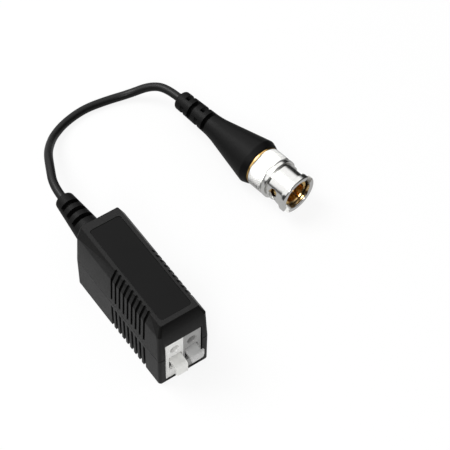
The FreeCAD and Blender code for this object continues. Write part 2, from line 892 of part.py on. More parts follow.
def make_conductor_plug_end():
    return on_plug(rod(conductor_diameter / 2, vector(0, 0, pin_back_z() - conductor_bare),
                       vector(0, 0, pin_back_z() + conductor_in_pin)))


def make_ferrule():
    return on_plug(tube(ferrule_radius, ferrule_radius - ferrule_wall, ferrule_start, shoulder_start))


def make_braid():
    return on_plug(tube(ferrule_radius - ferrule_wall, stem_radius, jacket_end + 0.1, shoulder_start))


# The plug's body: crimp stem, shoulder in the boot, visible flange and the neck the coupling turns on
def make_plug_body():
    groove_z = wave_end()
    outline = [
        (stem_bore, jacket_end + 0.1), (stem_radius, jacket_end + 0.1), (stem_radius, shoulder_start),
        (shoulder_radius, shoulder_start), (shoulder_radius, flange_start - boot_lip_depth),
        (flange_radius, flange_start - boot_lip_depth), (flange_radius, flange_start + flange_thickness),
        (neck_radius, flange_start + flange_thickness), (neck_radius, groove_z),
        (neck_radius - ring_groove_depth, groove_z),
        (neck_radius - ring_groove_depth, groove_z + ring_thickness),
        (neck_radius, groove_z + ring_thickness), (neck_radius, body_front), (body_bore_radius, body_front),
        (body_bore_radius, insulator_start()), (stem_bore, insulator_start())]
    return on_plug(revolve(outline))


def insulator_start():
    return shoulder_start + insulator_start_in


def wave_start():
    return lip_end + washer_gap + washer_thickness


def wave_end():
    return wave_start() + wave_washer_height


def make_thrust_washer():
    outer = cavity_radius - 0.15
    return on_plug(tube(outer, neck_radius + turning_clearance, lip_end + washer_gap, wave_start()))


def make_wave_washer():
    """A ring of spring sheet bent into three waves between the thrust washer and the retaining ring."""
    inner = neck_radius + 0.15
    outer = cavity_radius - 0.3
    height = wave_washer_height
    t = wave_washer_thickness
    clear = washer_gap
    steps = wave_count * 6
    low = wave_start() + clear
    rise = height - t - 2 * clear
    heights = [low + rise * 0.5 * (1 - math.cos(2 * math.pi * wave_count * i / steps)) for i in range(steps)]
    sectors = []
    for i in range(steps):
        a0 = 360 * i / steps
        z0 = heights[i]
        z1 = heights[(i + 1) % steps]
        sectors.append(wave_sector(inner, outer, a0, 360 / steps, z0, z1, t))
    return on_plug(fuse(sectors))


def wave_sector(inner, outer, start_angle, sweep, z0, z1, t):
    """One sloping step of the wave washer, cut from a sloping plate by a ring sector."""
    low = wave_start() - sector_height / 2
    ring = Part.makeCylinder(outer, sector_height, vector(0, 0, low), vector(0, 0, 1), sweep)
    ring = ring.cut(rod(inner, vector(0, 0, low), vector(0, 0, low + sector_height)))
    half = math.radians(sweep)
    far = outer * 1.3
    near = inner * 0.7
    bottom = []
    for angle, z in ((0.0, z0), (half, z1)):
        for radius in (near, far):
            bottom.append(vector(radius * math.cos(angle), radius * math.sin(angle), z))
    a, b, c, d = bottom
    lift = vector(0, 0, t)
    faces = []
    quads = [(a, b, d, c), tuple(p + lift for p in (a, b, d, c))]
    sides = [(a, b), (b, d), (d, c), (c, a)]
    for quad in quads:
        faces.append(Part.Face(Part.makePolygon([quad[0], quad[1], quad[2], quad[0]])))
        faces.append(Part.Face(Part.makePolygon([quad[0], quad[2], quad[3], quad[0]])))
    for p, q in sides:
        faces.append(Part.Face(Part.makePolygon([p, q, q + lift, p + lift, p])))
    plate = Part.Solid(Part.Shell(faces))
    sector = plate.common(ring)
    sector.rotate(vector(0, 0, 0), vector(0, 0, 1), start_angle)
    return sector


def make_retaining_ring():
    ring = tube(ring_radius, neck_radius - ring_groove_depth, wave_end(), wave_end() + ring_thickness)
    gap = box(0, ring_radius + 1, -0.6, 0.6, wave_end() - 1, wave_end() + ring_thickness + 1)
    return on_plug(ring.cut(gap))


def make_gasket():
    outer = contact_radius + gasket_width
    return on_plug(tube(outer, contact_radius, body_front, body_front + gasket_thickness))


# The coupling: knurled grip, smooth collar, slotted sleeve and front ring, turned from one bar
def make_coupling():
    z0 = coupling_start
    knurl_end = z0 + knurl_length
    groove_end = knurl_end + groove_ring_length
    collar_end = groove_end + smooth_ring_length
    sleeve_start = collar_end + shadow_groove_length
    ring_back = coupling_end - front_ring_length
    k = knurl_edge
    f = front_ring_edge
    r = coupling_radius
    cavity_end = lip_end + cavity_length
    outline = [
        (neck_radius + turning_clearance, z0), (r - k, z0), (r, z0 + k), (r, knurl_end - k),
        (r - k, knurl_end), (r - groove_ring_depth, knurl_end), (r - groove_ring_depth, groove_end),
        (r, groove_end), (r, collar_end), (shadow_groove_radius, collar_end),
        (shadow_groove_radius, sleeve_start), (sleeve_radius, sleeve_start),
        (sleeve_radius, ring_back), (r, ring_back),
        (r, coupling_end - f), (r - f, coupling_end), (sleeve_bore_radius + f, coupling_end),
        (sleeve_bore_radius, coupling_end - f), (sleeve_bore_radius, cavity_end),
        (cavity_radius, cavity_end), (cavity_radius, lip_end), (neck_radius + turning_clearance, lip_end)]
    coupling = revolve(outline)
    slots = []
    for start in (slot_entry_angle, slot_entry_angle + 180):
        slots.append(bayonet_slot(start))
    return on_plug(coupling.cut(Part.makeCompound(slots)))


def bayonet_slot(start):
    """Open entry through the front ring, a broad slot round the sleeve and a round detent at its end."""
    half = bayonet_slot_width / 2
    entry_half = bayonet_entry_width / 2
    slot_z = coupling_end - slot_from_end
    reach = coupling_radius + 1
    entry = box(0, reach, -entry_half, entry_half, slot_z, coupling_end + 1)
    entry.rotate(vector(0, 0, 0), vector(0, 0, 1), start)
    pieces = [entry]
    step = slot_turn_angle / slot_steps
    rise = bayonet_ramp_rise / slot_steps
    arc = math.radians(step) * sleeve_radius
    length = math.hypot(arc, rise)
    tilt = math.degrees(math.atan2(rise, arc))
    for i in range(slot_steps):
        piece = box(0, reach, -length / 2 - 0.05, length / 2 + 0.05, -half, half)
        piece.rotate(vector(0, 0, 0), vector(1, 0, 0), -tilt)
        piece.translate(vector(0, 0, slot_z - rise * (i + 0.5)))
        piece.rotate(vector(0, 0, 0), vector(0, 0, 1), start + step * (i + 0.5))
        pieces.append(piece)
    detent_z = slot_z - bayonet_ramp_rise + bayonet_detent_hook
    ends = [(start, slot_z, half), (start + slot_turn_angle, detent_z, bayonet_detent_radius)]
    for angle, z, radius in ends:
        way = vector(math.cos(math.radians(angle)), math.sin(math.radians(angle)), 0)
        centre = vector(0, 0, z)
        pieces.append(rod(radius, centre, centre + way * reach))
    return fuse(pieces)


# The outer contact: a gold tube with six fingers that grips the socket
def make_outer_contact():
    contact = tube(contact_radius, contact_radius - contact_wall, body_front, contact_front)
    slots = []
    for i in range(contact_slots):
        slot = box(0, contact_radius + 1, -contact_slot_width / 2, contact_slot_width / 2,
                   contact_front - contact_slot_length, contact_front + 1)
        slot.rotate(vector(0, 0, 0), vector(0, 0, 1), 360 * i / contact_slots + contact_slot_turn)
        slots.append(slot)
    return on_plug(contact.cut(Part.makeCompound(slots)))


def make_insulator():
    r = body_bore_radius - insulator_clearance
    z0 = insulator_start()
    z1 = z0 + insulator_length
    bore = centre_pin_radius
    outline = [(bore, z0), (r, z0), (r, z1), (insulator_nose_radius, z1),
               (insulator_nose_radius, z1 + insulator_nose_length), (bore, z1 + insulator_nose_length)]
    return on_plug(revolve(outline))


def pin_back_z():
    return insulator_start() - centre_pin_back


def make_centre_pin():
    front = coupling_end - centre_pin_recess
    back = pin_back_z()
    barrel = back + conductor_in_pin
    outline = [(0, barrel), (conductor_diameter / 2, barrel), (conductor_diameter / 2, back),
               (centre_pin_radius, back), (centre_pin_radius, front - centre_pin_tip),
               (centre_pin_radius * 0.45, front), (0, front)]
    return on_plug(revolve(outline))


save("upper_shell", make_upper_shell())
save("lower_shell", make_lower_shell())
save("roof_film", make_film())
save("clamp_module_white", make_module(-1))
save("clamp_module_grey", make_module(1))
save("lever_white", make_lever(-1, white_lip_drop, False))
save("lever_grey", make_lever(1, grey_lip_drop, True))
save("clamp_spring_white", make_clamp_spring(-1))
save("clamp_spring_grey", make_clamp_spring(1))
save("terminal_white", make_terminal(-1))
save("terminal_grey", make_terminal(1))
save("circuit_board", make_board())
save("transformer_core", make_core())
save("transformer_winding", make_winding())
save("chip_capacitors", make_chips([(-3.4, 2.0), (0.0, 2.0), (3.4, 2.0)], chip_height))
save("chip_resistors", make_chips([(-3.4, 6.0), (0.0, 6.0), (3.4, 6.0)], chip_height * 0.7))
save("surge_diodes", make_diodes())
save("box_strain_relief", make_box_relief())
save("cable_box_end", make_cable_box_end())
save("dielectric_box_end", make_dielectric_box_end())
save("conductor_box_end", make_conductor_box_end())
save("braid_pigtail", make_pigtail())
save("cable", make_cable())
save("cable_plug_end", make_cable_plug_end())
save("dielectric_plug_end", make_dielectric_plug_end())
save("conductor_plug_end", make_conductor_plug_end())
save("braid_plug_end", make_braid())
save("crimp_ferrule", make_ferrule())
save("plug_boot", make_boot())
save("plug_body", make_plug_body())
save("thrust_washer", make_thrust_washer())
save("wave_washer", make_wave_washer())
save("retaining_ring", make_retaining_ring())
save("plug_gasket", make_gasket())
save("coupling", make_coupling())
save("outer_contact", make_outer_contact())
save("plug_insulator", make_insulator())
save("centre_pin", make_centre_pin())
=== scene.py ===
import json
import math

import bmesh
import bpy
from mathutils import Matrix, Vector


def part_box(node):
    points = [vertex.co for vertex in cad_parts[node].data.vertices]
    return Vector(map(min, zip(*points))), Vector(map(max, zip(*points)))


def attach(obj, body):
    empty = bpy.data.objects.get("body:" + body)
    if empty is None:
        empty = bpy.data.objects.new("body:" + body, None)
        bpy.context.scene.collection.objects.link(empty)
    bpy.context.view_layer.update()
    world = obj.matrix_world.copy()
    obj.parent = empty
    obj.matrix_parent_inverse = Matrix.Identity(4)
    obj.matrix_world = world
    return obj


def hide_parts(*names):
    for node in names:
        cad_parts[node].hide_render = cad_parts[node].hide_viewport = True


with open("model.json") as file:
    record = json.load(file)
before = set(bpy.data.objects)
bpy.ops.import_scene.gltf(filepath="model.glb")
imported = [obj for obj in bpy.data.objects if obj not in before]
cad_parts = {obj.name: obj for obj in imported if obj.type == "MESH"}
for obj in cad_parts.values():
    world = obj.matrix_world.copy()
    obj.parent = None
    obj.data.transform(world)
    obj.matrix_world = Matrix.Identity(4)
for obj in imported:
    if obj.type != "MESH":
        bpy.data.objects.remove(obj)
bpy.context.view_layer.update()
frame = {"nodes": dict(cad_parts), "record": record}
nodes = frame["nodes"]

# Lower shell
# A drafted tray moulded in black ABS, with the fine grain of a spark-eroded mould.
# Finger grooves run down both long sides, and its lip stands up inside the upper shell.
mm = 0.001
weld_distance = 0.001 * mm
shell_edge = 0.16 * mm


class Amount:
    """A number that varies over a surface. Sums on it in Python add Math nodes to its paint."""

    def __init__(self, paint, socket):
        self.paint = paint
        self.socket = socket

    def joined(self, operation, first, second):
        made = self.paint.add("ShaderNodeMath", {"operation": operation}, {0: first, 1: second})
        return Amount(self.paint, made.outputs[0])

    def __add__(self, other):
        return self.joined("ADD", self, other)

    def __sub__(self, other):
        return self.joined("SUBTRACT", self, other)

    def __rsub__(self, other):
        return self.joined("SUBTRACT", other, self)

    def __mul__(self, other):
        return self.joined("MULTIPLY", self, other)

    __radd__ = __add__
    __rmul__ = __mul__

    def step(self, low, high):
        """0 below low, 1 above high, and smooth between them."""
        made = self.paint.add("ShaderNodeMapRange", {"interpolation_type": "SMOOTHSTEP"},
                              {"Value": self, "From Min": low, "From Max": high})
        return Amount(self.paint, made.outputs["Result"])


class Paint:
    """A procedural material round one Principled shader. Flat values go on the shader's own sockets."""

    def __init__(self, name, **flat):
        self.material = bpy.data.materials.new(name)
        self.material.use_nodes = True
        self.tree = self.material.node_tree
        self.shader = self.tree.nodes["Principled BSDF"]
        self.place = self.add("ShaderNodeTexCoord").outputs["Object"]
        for socket, value in flat.items():
            self.shader.inputs[socket.replace("_", " ")].default_value = value

    def add(self, kind, settings=None, inputs=None):
        node = self.tree.nodes.new(kind)
        for key, value in (settings or {}).items():
            if key == "stops":
                for stop, (position, colour) in zip(node.color_ramp.elements, value):
                    stop.position = position
                    stop.color = colour
            else:
                setattr(node, key, value)
        for key, value in (inputs or {}).items():
            self.feed(node.inputs[key], value)
        return node

    def feed(self, socket, value):
        value = getattr(value, "socket", value)
        if isinstance(value, bpy.types.NodeSocket):
            self.tree.links.new(value, socket)
        else:
            socket.default_value = value

    def moved(self, location=(0, 0, 0), rotation=(0, 0, 0), scale=(1, 1, 1)):
        made = self.add("ShaderNodeMapping", None,
                        {"Vector": self.place, "Location": location, "Rotation": rotation, "Scale": scale})
        return made.outputs["Vector"]

    def noise(self, size, detail=2.0, place=None, roughness=0.5):
        """Cloudy variation whose blotches are about this size, in metres."""
        made = self.add("ShaderNodeTexNoise", None, {
            "Vector": place or self.place, "Scale": 1 / size, "Detail": detail, "Roughness": roughness})
        return Amount(self, made.outputs[0])

    def worn(self):
        """1 on the rounded edges of a piece, and 0 on its faces."""
        made = self.add("ShaderNodeAttribute", {"attribute_name": "edge"})
        return Amount(self, made.outputs["Fac"])

    def blend(self, share, first, second):
        made = self.add("ShaderNodeMix", {"data_type": "RGBA"}, {0: share, 6: first, 7: second})
        return made.outputs[2]

    def bump(self, height, depth, strength=1.0):
        made = self.add("ShaderNodeBump", None, {"Height": height, "Distance": depth, "Strength": strength})
        return made.outputs["Normal"]

    def wear(self, colour=None, roughness=None, normal=None, metallic=None):
        for name, value in (("Base Color", colour), ("Roughness", roughness), ("Normal", normal),
                            ("Metallic", metallic)):
            if value is not None:
                self.feed(self.shader.inputs[name], value)
        return self


def grey(level, tint=(1.0, 1.0, 1.0)):
    return tuple(level * share for share in tint) + (1.0,)


def add_piece(mesh, name, paint, body, stands_for=(), sharp=30):
    """Makes an object of a finished bmesh and hands it to a CAD body."""
    data = bpy.data.meshes.new(name)
    mesh.to_mesh(data)
    mesh.free()
    data.shade_smooth()
    data.set_sharp_from_angle(angle=math.radians(sharp))
    data.materials.append(paint.material)
    made = bpy.data.objects.new(name, data)
    bpy.context.scene.collection.objects.link(made)
    flat = made.modifiers.new("flat_faces", "WEIGHTED_NORMAL")
    flat.keep_sharp = True
    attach(made, body)
    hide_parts(*stands_for)
    return made


def rounded(mesh, edge, chosen, segments=2):
    """Rounds the chosen edges and marks the new faces, so that a paint can wear them."""
    mark = mesh.faces.layers.float.get("edge") or mesh.faces.layers.float.new("edge")
    made = bmesh.ops.bevel(mesh, geom=chosen, offset=edge, offset_type="OFFSET",
                           segments=segments, profile=0.5,
                           affect="EDGES", clamp_overlap=True, material=-1)
    for face in made["faces"]:
        face[mark] = 1.0


def hard_edges(mesh, angle=40):
    limit = math.radians(angle)
    return [edge for edge in mesh.edges if len(edge.link_faces) == 2 and edge.calc_face_angle() > limit]


def moulded_copy(node, edge):
    """A CAD node's shape with its seams closed, its flat faces whole and its hard edges rounded."""
    mesh = bmesh.new()
    mesh.from_mesh(nodes[node].data)
    bmesh.ops.remove_doubles(mesh, verts=mesh.verts, dist=weld_distance)
    bmesh.ops.dissolve_limit(mesh, angle_limit=math.radians(0.5), verts=mesh.verts, edges=mesh.edges)
    rounded(mesh, edge, hard_edges(mesh))
    return mesh


def shell_paint():
    paint = Paint("shell_black", Specular_IOR_Level=0.22)
    cloud = paint.noise(9 * mm, 3)
    grain = paint.noise(0.16 * mm, 2)
    scuff = paint.noise(1.3 * mm, 4, roughness=0.7).step(0.56, 0.72)
    edge = paint.worn() * paint.noise(2.4 * mm, 3).step(0.35, 0.6)
    tone = cloud * 0.5 + grain * 0.3 + edge * 0.5
    colour = paint.blend(tone, grey(0.0025), grey(0.0065, (1.04, 1.0, 0.96)))
    rough = 0.36 + (cloud - 0.5) * 0.12 + grain * 0.06 - edge * 0.1 - scuff * 0.05
    return paint.wear(colour, rough, paint.bump(grain, 0.035 * mm))


shell_finish = shell_paint()
add_piece(moulded_copy("lower_shell", shell_edge), "lower_case", shell_finish, "housing",
          ["lower_shell"])

# Upper shell
# The same black ABS. Wide chamfers run round its roof, and a shallow recess takes the film.
# It closes down over the lower shell's lip, and holds the board on two rails inside.
add_piece(moulded_copy("upper_shell", shell_edge), "upper_case", shell_finish, "housing",
          ["upper_shell"])

# Roof film
# A bare polyester film, satin black, stuck down in the recess of the roof.
film_edge = 0.06 * mm


def film_paint():
    paint = Paint("film_black", Specular_IOR_Level=0.12)
    weave = paint.noise(0.35 * mm, 2)
    cloud = paint.noise(14 * mm, 2)
    colour = paint.blend(cloud, grey(0.002), grey(0.003))
    return paint.wear(colour, 0.34 + (cloud - 0.5) * 0.1, paint.bump(weave, 0.004 * mm))


add_piece(moulded_copy("roof_film", film_edge), "film", film_paint(), "housing", ["roof_film"])

# Clamp modules
# Two glossy polycarbonate blocks, white and grey, pressed into the front opening side by side.
# Each has a round wire entry over a tall window for its lever.
module_edge = 0.12 * mm


def gloss_paint(name, low, high, gloss):
    paint = Paint(name, Specular_IOR_Level=0.5)
    cloud = paint.noise(3.5 * mm, 3)
    flow = paint.noise(0.6 * mm, 2)
    grime = paint.noise(1.1 * mm, 4, roughness=0.65).step(0.58, 0.8)
    colour = paint.blend(cloud * 0.8 + grime * 0.2, high, low)
    return paint.wear(colour, gloss + (flow - 0.5) * 0.08 + grime * 0.1, paint.bump(flow, 0.006 * mm))


module_white = gloss_paint("module_white", grey(0.74, (1.0, 1.0, 0.97)), grey(0.83, (1.0, 1.0, 0.98)), 0.32)
module_grey = gloss_paint("module_grey", grey(0.27, (1.0, 1.0, 0.98)), grey(0.34, (1.0, 1.0, 0.98)), 0.34)
add_piece(moulded_copy("clamp_module_white", module_edge), "module_block_white", module_white,
          "housing", ["clamp_module_white"])
add_piece(moulded_copy("clamp_module_grey", module_edge), "module_block_grey", module_grey,
          "housing", ["clamp_module_grey"])

# Levers
# One in each module, moulded in the same plastic, turning on two short stubs.
# The tongue slopes out and down from under the wire entry, and pressing it opens the spring inside.
lever_edge = 0.18 * mm
lever_white = gloss_paint("lever_white", grey(0.76, (1.0, 1.0, 0.96)), grey(0.86, (1.0, 1.0, 0.97)), 0.3)
lever_grey = gloss_paint("lever_grey", grey(0.5, (1.0, 1.0, 0.99)), grey(0.6, (1.0, 1.0, 0.99)), 0.3)
add_piece(moulded_copy("lever_white", lever_edge), "tongue_white", lever_white, "lever_white",
          ["lever_white"])
add_piece(moulded_copy("lever_grey", lever_edge), "tongue_grey", lever_grey, "lever_grey",
          ["lever_grey"])


# Springs and terminals
# A bent strip of spring steel in each module presses the wire up against a tinned brass busbar,
# whose square pin goes up through the board.
def metal_paint(name, low, high, rough, brushed, grain=0.4 * mm):
    paint = Paint(name, Metallic=1.0)
    lines = paint.noise(grain, 3, paint.moved(scale=brushed))
    spots = paint.noise(1.6 * mm, 3)
    colour = paint.blend(lines * 0.5 + spots * 0.5, low, high)
    return paint.wear(colour, rough + (lines - 0.5) * 0.2, paint.bump(lines, 0.004 * mm))


def dress(paint, *names):
    """Gives CAD nodes that are shown as they are their own finish."""
    for name in names:
        nodes[name].data.materials.clear()
        nodes[name].data.materials.append(paint.material)


spring_steel = metal_paint("spring_steel", grey(0.42), grey(0.58), 0.32, (8, 1, 1))
tinned_brass = metal_paint("tinned_brass", grey(0.6, (1, 0.98, 0.92)), grey(0.74, (1, 0.98, 0.93)), 0.36,
                           (1, 6, 1))
dress(spring_steel, "clamp_spring_white", "clamp_spring_grey")
dress(tinned_brass, "terminal_white", "terminal_grey")


# Circuit board
# Glass-fibre board under a green solder mask, with its copper tracks just showing through.
def board_paint():
    paint = Paint("board_green", Specular_IOR_Level=0.55)
    tracks = paint.add("ShaderNodeTexBrick", {"offset": 0.5, "squash": 1.0}, {
        "Vector": paint.moved(rotation=(0, 0, math.radians(90))), "Scale": 1.0, "Mortar Size": 0.35 * mm,
        "Mortar Smooth": 0.2, "Brick Width": 5.2 * mm, "Row Height": 2.6 * mm})
    copper = Amount(paint, tracks.outputs["Fac"])
    fibre = paint.noise(0.5 * mm, 2)
    colour = paint.blend(copper * 0.6 + fibre * 0.2, (0.012, 0.08, 0.03, 1), (0.03, 0.19, 0.07, 1))
    return paint.wear(colour, 0.35 + fibre * 0.1, paint.bump(copper + fibre * 0.1, 0.03 * mm))


dress(board_paint(), "circuit_board")


# Parts on the board
# A ferrite ring wound with enamelled wire, ceramic chip capacitors and resistors, and two diodes.
def chip_paint(name, body, metal, along):
    """A speckled finish between the body and metal colours, with along as its base roughness."""
    paint = Paint(name)
    speck = paint.noise(0.18 * mm, 3)
    colour = paint.blend(speck, body, metal)
    return paint.wear(colour, along + speck * 0.12, paint.bump(speck, 0.01 * mm))


def wire_paint():
    paint = Paint("enamelled_copper", Metallic=0.85, Coat_Weight=0.6, Coat_Roughness=0.12)
    turns = paint.noise(0.8 * mm, 3)
    colour = paint.blend(turns, (0.42, 0.13, 0.05, 1), (0.72, 0.3, 0.12, 1))
    return paint.wear(colour, 0.24 + turns * 0.12, paint.bump(turns, 0.01 * mm))


dress(chip_paint("ferrite", grey(0.035), grey(0.06), 0.55), "transformer_core")
dress(wire_paint(), "transformer_winding")
dress(chip_paint("chip_ceramic", (0.3, 0.2, 0.11, 1), (0.42, 0.3, 0.18, 1), 0.42), "chip_capacitors")
dress(chip_paint("resistor_black", grey(0.02), grey(0.045), 0.3), "chip_resistors")
dress(chip_paint("diode_black", grey(0.022), grey(0.04), 0.5), "surge_diodes")

# Strain relief on the box
# A soft black vinyl cone moulded round the cable and gripped in the box's back wall.
# Three levels of slots, two slots on each, let it bend with the cable.
turn_steps = 96
cable_radius = 1.45 * mm
relief_slot_floor = 1.95 * mm
relief_slot_half_angle = 65
relief_exit = Vector((0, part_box("box_strain_relief")[1].y, (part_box("box_strain_relief")[0].z
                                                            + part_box("box_strain_relief")[1].z) / 2))
relief_length = 21.1 * mm
relief_slots = [relief_length - (4.5 + 3.55 * level) * mm for level in range(3)]


def turned(outline, steps=turn_steps, round_steps=4):
    """Turns a closed outline of (radius, height, rounding) corners, in mm, once round Z."""
    mesh = bmesh.new()
    corners = [mesh.verts.new((radius * mm, 0, height * mm)) for radius, height, _ in outline]
    for first, second in zip(corners, corners[1:] + corners[:1]):
        mesh.edges.new((first, second))
    for corner, (_, _, rounding) in zip(corners, outline):
        if rounding:
            bmesh.ops.bevel(mesh, geom=[corner], offset=rounding * mm, offset_type="OFFSET",
                            segments=round_steps, profile=0.5, affect="VERTICES", clamp_overlap=False,
                            material=-1)
    bmesh.ops.spin(mesh, geom=mesh.verts[:] + mesh.edges[:], cent=(0, 0, 0), axis=(0, 0, 1),
                   dvec=(0, 0, 0), angle=math.tau, steps=steps, use_merge=True)
    bmesh.ops.remove_doubles(mesh, verts=mesh.verts, dist=weld_distance)
    bmesh.ops.recalc_face_normals(mesh, faces=mesh.faces)
    return mesh


def slotted(mesh, middle, width, angles, half_angle, floor):
    """Sinks slots into a turned skin: one round each of the angles, down to the floor's radius."""
    low = middle - width / 2
    high = middle + width / 2
    for height in (low, high):
        bmesh.ops.bisect_plane(mesh, geom=mesh.verts[:] + mesh.edges[:] + mesh.faces[:], dist=weld_distance,
                               plane_co=(0, 0, height), plane_no=(0, 0, 1))
    for angle in angles:
        way = Vector((math.cos(math.radians(angle)), math.sin(math.radians(angle)), 0))
        limit = math.cos(math.radians(half_angle))
        sunk = []
        for face in mesh.faces:
            centre = face.calc_center_median()
            out = Vector((centre.x, centre.y, 0)).normalized()
            if low < centre.z < high and out.dot(way) > limit and face.normal.dot(out) > 0.5:
                sunk.append(face)
        made = bmesh.ops.extrude_face_region(mesh, geom=sunk)["geom"]
        bmesh.ops.delete(mesh, geom=sunk, context="FACES")
        for vert in made:
            if isinstance(vert, bmesh.types.BMVert):
                flat = Vector((vert.co.x, vert.co.y))
                vert.co.xy = flat.normalized() * floor
    bmesh.ops.recalc_face_normals(mesh, faces=mesh.faces)


def soft_paint(name, low, high, rough=0.52, shine=0.25):
    paint = Paint(name, Specular_IOR_Level=shine)
    cloud = paint.noise(6 * mm, 3)
    skin = paint.noise(0.22 * mm, 3)
    rub = paint.noise(1.0 * mm, 5, roughness=0.7).step(0.55, 0.75)
    colour = paint.blend(cloud * 0.6 + rub * 0.3, low, high)
    return paint.wear(colour, rough + (cloud - 0.5) * 0.12 + rub * 0.08, paint.bump(skin, 0.012 * mm))


soft_black = soft_paint("soft_black", grey(0.003), grey(0.006), 0.46, 0.11)
way_up = Vector((0, 0, 1))


def lay_along(mesh, start, way):
    """Turns a mesh made along Z to lie along a level direction, with its own X upwards."""
    side = way.cross(way_up)
    place = Matrix((way_up, side, way)).transposed().to_4x4()
    place.translation = start
    bmesh.ops.transform(mesh, matrix=place, verts=mesh.verts)


relief_outline = [
    (cable_radius / mm, -2.4, 0), (4.6, -2.4, 0.2), (4.6, -1.85, 0.2), (3.4, -1.85, 0), (3.4, 0, 0),
    (5.0, 0, 0.25), (5.0, 1.0, 0.6), (3.1, 21.1, 0.7), (cable_radius / mm, 21.1, 0)]
relief = turned(relief_outline)
relief_slot_width = 1.7 * mm
for height in relief_slots:
    slotted(relief, height, relief_slot_width, (0, 180), relief_slot_half_angle, relief_slot_floor)
lay_along(relief, relief_exit - Vector((0, relief_length, 0)), Vector((0, 1, 0)))
add_piece(relief, "box_relief", soft_black, "housing", ["box_strain_relief"])

# Cable
# A short soft coax lead with a smooth black vinyl jacket. It runs straight out of the relief, sags
# to what the box stands on, sweeps round in one loose arc and rises into the plug's boot.
origin_shift = 1.6
route = [
    (0.0, 49.95, 12.2), (3.4, 57.69, 11.71), (6.64, 64.5, 8.82), (10.45, 70.05, 5.31), (14.64, 74.52, 2.75),
    (20.75, 77.95, 1.55), (28.82, 79.38, 1.6), (36.86, 78.46, 1.52), (44.83, 76.35, 1.9),
    (50.8, 72.35, 5.97), (53.978, 66.854, 8.0)]
plug_mount = next(mount for mount in frame["record"]["mounts"] if mount["name"] == "video_plug")
plug_way = Vector(plug_mount["axis"]).normalized()
plug_length = 54.3 * mm
plug_start = Vector(plug_mount["pos_m"]) - plug_way * plug_length
route_points = [Vector((x, y + origin_shift, z)) * mm for x, y, z in route]
line = bpy.data.curves.new("coax_lead", "CURVE")
line.dimensions = "3D"
spline = line.splines.new("NURBS")
spline.points.add(len(route_points) + 1)
for point, place in zip(spline.points, [relief_exit] + route_points + [plug_start]):
    point.co = (*place, 1)
spline.order_u = 3
spline.use_endpoint_u = True
spline.use_smooth = True
line.bevel_depth = cable_radius
line.bevel_resolution = 8
line.resolution_u = 16
line.use_fill_caps = True
jacket = soft_paint("cable_black", grey(0.003), grey(0.007), 0.38)
line.materials.append(jacket.material)
lead = bpy.data.objects.new("coax_lead", line)
bpy.context.scene.collection.objects.link(lead)
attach(lead, "housing")
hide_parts("cable")


# Cable ends
# Inside the box and the boot the jacket is stripped to its white dielectric, copper core and braid.
def braid_paint():
    paint = Paint("braid_tinned", Metallic=1.0)
    strands = paint.add("ShaderNodeTexWave", {"bands_direction": "DIAGONAL"}, {
        "Vector": paint.place, "Scale": 1 / (0.9 * mm), "Distortion": 1.5, "Detail": 1.0})
    twist = Amount(paint, strands.outputs["Fac"])
    colour = paint.blend(twist, grey(0.3, (1, 0.97, 0.9)), grey(0.66, (1, 0.97, 0.9)))
    return paint.wear(colour, 0.3 + twist * 0.1, paint.bump(twist, 0.05 * mm))


dielectric = gloss_paint("dielectric_white", grey(0.7), grey(0.8), 0.45)
copper = metal_paint("bare_copper", (0.5, 0.2, 0.1, 1), (0.68, 0.32, 0.17, 1), 0.3, (1, 1, 1))
braid = braid_paint()
dress(jacket, "cable_box_end", "cable_plug_end")
dress(dielectric, "dielectric_box_end", "dielectric_plug_end")
dress(copper, "conductor_box_end", "conductor_plug_end")
dress(braid, "braid_pigtail", "braid_plug_end")

# Plug boot
# Soft black vinyl moulded over the crimp. Four levels of slots, each turned a quarter from the last,
# end in a throat, and the boot then swells to the plug's rear flange and closes in a wide chamfer.
boot_slots = [(3.6, 90), (7.0, 0), (10.5, 90), (13.8, 0)]
boot_slot_width = 1.6 * mm
boot_roll = 35
boot_outline = [
    (1.45, 0, 0), (3.3, 0, 0.8), (3.75, 15.0, 1.2), (4.1, 17.8, 1.4), (8.0, 35.6, 0.3), (7.3, 37.6, 0.2),
    (6.8, 37.6, 0), (6.8, 36.8, 0), (5.4, 36.8, 0), (5.4, 33.6, 0), (2.75, 33.6, 0), (2.75, 24.0, 0),
    (1.45, 24.0, 0)]
boot = turned(boot_outline, round_steps=6)
for height, angle in boot_slots:
    slotted(boot, height * mm, boot_slot_width, (angle + boot_roll, angle + boot_roll + 180),
            relief_slot_half_angle, relief_slot_floor)
lay_along(boot, plug_start, plug_way)
boot_piece = add_piece(boot, "boot", soft_black, "housing", ["plug_boot"])

# Plug body and crimp
# A gold plated brass body. Its stem takes the crimped braid under the boot, its flange shows as a
# thin ring behind the coupling, and its neck carries the washers and the coupling.
plate_edge = 0.08 * mm


def gold_paint():
    paint = Paint("gold_plate", Metallic=1.0)
    turning = paint.noise(0.5 * mm, 2)
    cloud = paint.noise(2.2 * mm, 3)
    colour = paint.blend(cloud, (0.82, 0.5, 0.16, 1), (0.95, 0.66, 0.27, 1))
    return paint.wear(colour, 0.16 + turning * 0.08 + (cloud - 0.5) * 0.06, paint.bump(turning, 0.004 * mm))


gold = gold_paint()
steel = metal_paint("washer_steel", grey(0.5), grey(0.66), 0.3, (1, 1, 5))
ferrule = metal_paint("ferrule_nickel", grey(0.6), grey(0.74), 0.25, (5, 1, 1))
gasket = soft_paint("gasket_rubber", (0.3, 0.06, 0.035, 1), (0.4, 0.09, 0.05, 1), 0.5)
body_piece = add_piece(moulded_copy("plug_body", plate_edge), "body_gold", gold, "housing",
                       ["plug_body"])
dress(ferrule, "crimp_ferrule")
dress(steel, "thrust_washer", "wave_washer", "retaining_ring")
dress(gasket, "plug_gasket")

